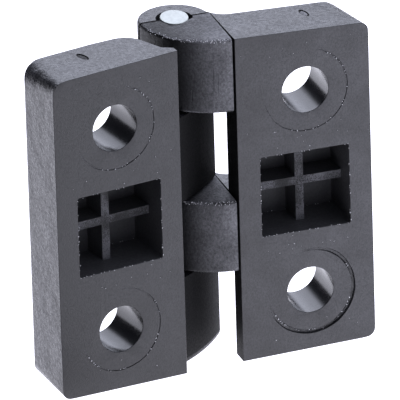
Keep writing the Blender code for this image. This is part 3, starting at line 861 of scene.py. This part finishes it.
def makePin():
    v = pinValues
    radius = v["diameter"] / 2
    top = leafValues["height"] + v["proud"]
    profile = [(0.0, v["crown"])]
    profile += arcPoints((radius - v["dome"], v["dome"] + v["crown"]), v["dome"], -math.pi / 2, 0.0, 9.0)
    profile += arcPoints((radius - v["dome"], top - v["crown"] - v["dome"]), v["dome"], 0.0, math.pi / 2, 9.0)
    pin = spun("hingePin", profile + [(0.0, top)], turnSteps, Matrix.Translation((0.0, -v["forward"] * mm, 0.0)))
    for vertex in pin.data.vertices:
        if vertex.co.z > top * mm / 2:
            vertex.co.z += (vertex.co.y + v["forward"] * mm) * math.tan(math.radians(v["slant"]))
    pin.data.materials.append(pinSteel)
    smooth(pin)
    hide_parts("hinge_pin")
    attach(pin, "right_side")


makePin()
print("pin made")


# Burrs, dust and painted glints

fleckValues = {  # millimetres; spread is the jitter's share along each axis
    # the rim row is painted glints along the caps' rims, the others real burrs and dust
    "rim": {"Spacing": 0.1, "Keep": 0.85, "Jitter": 0.24, "Size": 0.095, "Seed": 4, "spread": (1, 1, 0.9)},
    "ring": {"Spacing": 0.4, "Keep": 0.36, "Jitter": 0.09, "Size": 0.12, "Seed": 8, "spread": (1, 0.2, 1)},
    "pocket": {"Spacing": 0.4, "Keep": 0.3, "Jitter": 0.08, "Size": 0.105, "Seed": 12, "spread": (1, 0.2, 1)},
    "dust": {"Spacing": 1.6, "Keep": 0.4, "Jitter": 1.3, "Size": 0.08, "Seed": 16, "spread": (1, 0, 1)},
}
crumbAndGlintValues = {  # torn burrs and dust, stretched white at their ends, and the painted glints on the caps' rims
    "base": "98989b", "light": "e6e6e9", "roughness": 0.5, "swing": 0.15, "grain": 0.1, "height": 0.01,
}
dustValues = {"levels": (3.5, 15.5, 17.0, 32.0, 33.0, 46.0), "inset": 1.5}
capRimGlintValues = {"first": 195, "last": 267, "step": 2, "inset": 0.14, "drop": 0.16}  # degrees and millimetres


def fleckTree():  # tiny crumbs, and painted glints, strewn along lines
    tree, given, result = newTree("flecks", {
        "Spacing": 0.0003, "Keep": 0.5, "Jitter": (0.0001, 0.0001, 0.0001), "Size": 0.00005, "Seed": 0,
    })
    curve = addNode(tree, "GeometryNodeMeshToCurve", {"Mesh": given["Geometry"]})
    points = addNode(tree, "GeometryNodeCurveToPoints", {"Curve": curve, "Length": given["Spacing"]}, mode="LENGTH")
    share = addNode(tree, "ShaderNodeMath", {0: 1.0, 1: given["Keep"]}, operation="SUBTRACT")
    dropped = addNode(tree, "FunctionNodeRandomValue", {6: share, 8: given["Seed"]}, data_type="BOOLEAN")
    kept = addNode(tree, "GeometryNodeDeleteGeometry", {
        "Geometry": points, "Selection": dropped.outputs[3],
    }, domain="POINT")
    seeds = [addNode(tree, "ShaderNodeMath", {0: given["Seed"], 1: float(extra)}) for extra in (1, 2, 3)]
    toss = addNode(tree, "FunctionNodeRandomValue", {
        0: (-1.0, -1.0, -1.0), 1: (1.0, 1.0, 1.0), 8: seeds[0],
    }, data_type="FLOAT_VECTOR")
    offset = addNode(tree, "ShaderNodeVectorMath", {0: toss, 1: given["Jitter"]}, operation="MULTIPLY")
    strewn = addNode(tree, "GeometryNodeSetPosition", {"Geometry": kept, "Offset": offset})
    blob = addNode(tree, "GeometryNodeMeshIcoSphere", {"Radius": 1.0, "Subdivisions": 1})
    turn = addNode(tree, "FunctionNodeRandomValue", {
        0: (0.0, 0.0, 0.0), 1: (6.28, 6.28, 6.28), 8: seeds[1],  # a whole turn
    }, data_type="FLOAT_VECTOR")
    shape = addNode(tree, "FunctionNodeRandomValue", {
        0: (0.3, 0.3, 0.3), 1: (1.4, 1.0, 0.8), 8: seeds[2],
    }, data_type="FLOAT_VECTOR")
    size = addNode(tree, "ShaderNodeVectorMath", {0: shape, "Scale": given["Size"]}, operation="SCALE")
    blobs = addNode(tree, "GeometryNodeInstanceOnPoints", {
        "Points": strewn, "Instance": blob, "Rotation": turn, "Scale": size,
    })
    return closeTree(tree, blobs, given, result)


flecks = fleckTree()
paleCrumbsAndGlints = mouldedPolyamide("paleCrumbsAndGlints", crumbAndGlintValues)


def makeFlecks(name, kind, paths, slot, body, turn=0.0):
    shape = bmesh.new()
    for path in paths:
        verts = [shape.verts.new(Matrix.Rotation(math.radians(turn), 3, "Z") @ Vector(point)) for point in path]
        for start, end in zip(verts, verts[1:]):
            shape.edges.new((start, end))
    piece = newObject(name, shape)
    v = fleckValues[kind]
    grow(piece, flecks, {
        "Spacing": v["Spacing"] * mm, "Keep": v["Keep"], "Jitter": Vector(v["spread"]) * v["Jitter"] * mm,
        "Size": v["Size"] * mm, "Seed": v["Seed"], "Material": paleCrumbsAndGlints,
    })
    settle(piece)
    smooth(piece, 80.0)
    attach(piece, body)


def circlePath(x, z, radius, start, end):
    return [(a, -mountReach, b) for a, b in arcPoints((x, z), radius, math.radians(start), math.radians(end), 6.0)]


def leafFlecks(sideName):
    v = leafValues
    side = sides[sideName]
    home = ("leaf_polyamide", f"{sideName}_side", v["fold"] if sideName == "left" else 0.0)
    x = side * v["holeReach"]
    low, high = v["holeInset"], v["height"] - v["holeInset"]
    radius = ringValues["each"]["Diameter"] / 2
    arcs = [circlePath(x, low, radius, -150, 30), circlePath(x, high, radius, -110, 60)]
    makeFlecks(f"{sideName}RingBurrs", "ring", arcs, *home)
    middle = side * (v["innerEdge"] + v["width"] / 2)
    width, height, depth = v["pocket"]
    near, far = middle - width / 2, middle + width / 2
    bottom, top = (v["height"] - height) / 2, (v["height"] + height) / 2
    mouth = [(x, -mountReach, z) for x, z in rectangle(near, far, top, bottom)]
    off = 0.05  # clear of the pocket's floor
    foot = [(x, depth - off - mountReach, bottom + off) for x in (near, far)]
    makeFlecks(f"{sideName}PocketBurrs", "pocket", [mouth + mouth[:1], foot], *home)
    across = (side * (v["innerEdge"] + dustValues["inset"]), side * (outerEdge - dustValues["inset"]))
    lines = [[(x, -mountReach, level) for x in across] for level in dustValues["levels"]]
    makeFlecks(f"{sideName}Dust", "dust", lines, *home)


# painted glints along the front of each cap's upper rim
def capRimGlints(name, span):
    v = capRimGlintValues
    inner = leafValues["innerEdge"]
    across = inner + leafValues["knuckleRadius"] - v["inset"]
    reach = mountReach - capValues["setback"] - v["inset"]
    path = []
    for angle in range(v["first"], v["last"] + 1, v["step"]):
        turn = math.radians(angle)
        path.append((inner + across * math.cos(turn), reach * math.sin(turn), span[1] - v["drop"]))
    makeFlecks(name, "rim", [path], "cap_polyamide", "right_side")


for sideName in sides:
    leafFlecks(sideName)
capRimGlints("upperCapRimGlints", knuckleSpans["rightUpper"])
capRimGlints("lowerCapRimGlints", knuckleSpans["rightLower"])
print("burrs and dust made")


# Studio

studioValues = {  # millimetres for the floor and the cards, metres and degrees for the camera
    "floorRadius": 700.0, "floorDrop": 0.1, "floorColour": "9c9fa4", "floorRoughness": 0.7,
    "glowColour": "f3f2fd", "floorGlow": 1.8,
    "horizon": "1b1c22", "sky": "e9edff", "skyStrength": 3.0,
    # the sky brightens along each axis from one place to the other, and keeps the last number's share before it
    "shades": {"X": (-0.34, -0.14, 0.0), "Y": (-0.5, 0.4, 0.3), "Z": (0.08, 0.34, 0.0)},
    "cardColour": "141414", "cardRoughness": 0.9, "cardThickness": 0.4,
    "leftCard": ((-13, -22), (-32, -65), (-50, -140), (-260, -260), (-260, 10), (-90, 10), (-50, -22)),
    "rightCard": ((38, 0), (44, 30), (66, 90), (160, 160), (200, 0), (120, -30)),
    "lens": 1080.0, "sensor": 36.0,
    "place": (-0.477273, -1.448164, 0.689759), "turn": (66.31037, 1.5978, -19.04793),
}


def makeFloor():  # a glowing sheet gives the photograph's plain white
    v = studioValues
    shape = bmesh.new()
    bmesh.ops.create_circle(shape, cap_ends=True, segments=turnSteps, radius=v["floorRadius"])
    floor = newObject("floor", shape, Matrix.Translation((0.0, 0.0, -v["floorDrop"] * mm)))
    material, tree, shader = newMaterial("whiteAcrylicSheet")
    feed(tree, shader, {
        "Base Color": linearColour(v["floorColour"]), "Roughness": v["floorRoughness"],
        "Emission Color": linearColour(v["glowColour"]), "Emission Strength": v["floorGlow"],
    })
    floor.data.materials.append(material)


def makeCards():  # black cards on the floor, out of the picture, keep the knuckles dark
    v = studioValues
    material, tree, shader = newMaterial("blackCardStock")
    feed(tree, shader, {"Base Color": linearColour(v["cardColour"]), "Roughness": v["cardRoughness"]})
    for name in ("leftCard", "rightCard"):
        card = prism(name, v[name], 0.0, v["cardThickness"])
        card.data.materials.append(material)
        card.visible_camera = False


def makeSky():  # soft light from above and behind, none from the left
    v = studioValues
    world = bpy.data.worlds.new("studio")
    bpy.context.scene.world = world
    world.use_nodes = True
    tree = world.node_tree
    direction = addNode(tree, "ShaderNodeTexCoord").outputs["Generated"]
    along = addNode(tree, "ShaderNodeSeparateXYZ", {"Vector": direction}).outputs
    rise = 1.0
    for axis, (low, high, share) in v["shades"].items():
        shade = addNode(tree, "ShaderNodeMapRange", {
            "Value": along[axis], "From Min": low, "From Max": high, "To Min": share,
        }, interpolation_type="SMOOTHSTEP")
        rise = addNode(tree, "ShaderNodeMath", {0: shade, 1: rise}, operation="MULTIPLY")
    colour = addNode(tree, "ShaderNodeMix", {
        "Factor": rise, 6: linearColour(v["horizon"]), 7: linearColour(v["sky"]),
    }, data_type="RGBA")
    feed(tree, tree.nodes["Background"], {"Color": colour.outputs[2], "Strength": v["skyStrength"]})


def makeCamera():
    data = bpy.data.cameras.new("camera")
    data.lens = studioValues["lens"]
    data.sensor_width = studioValues["sensor"]
    data.clip_end = 10.0
    camera = bpy.data.objects.new("camera", data)
    camera.location = studioValues["place"]
    camera.rotation_euler = [math.radians(a) for a in studioValues["turn"]]
    bpy.context.scene.collection.objects.link(camera)
    bpy.context.scene.camera = camera


makeFloor()
makeCards()
makeSky()
makeCamera()
bpy.context.scene.view_settings.view_transform = "Standard"
print("studio made")
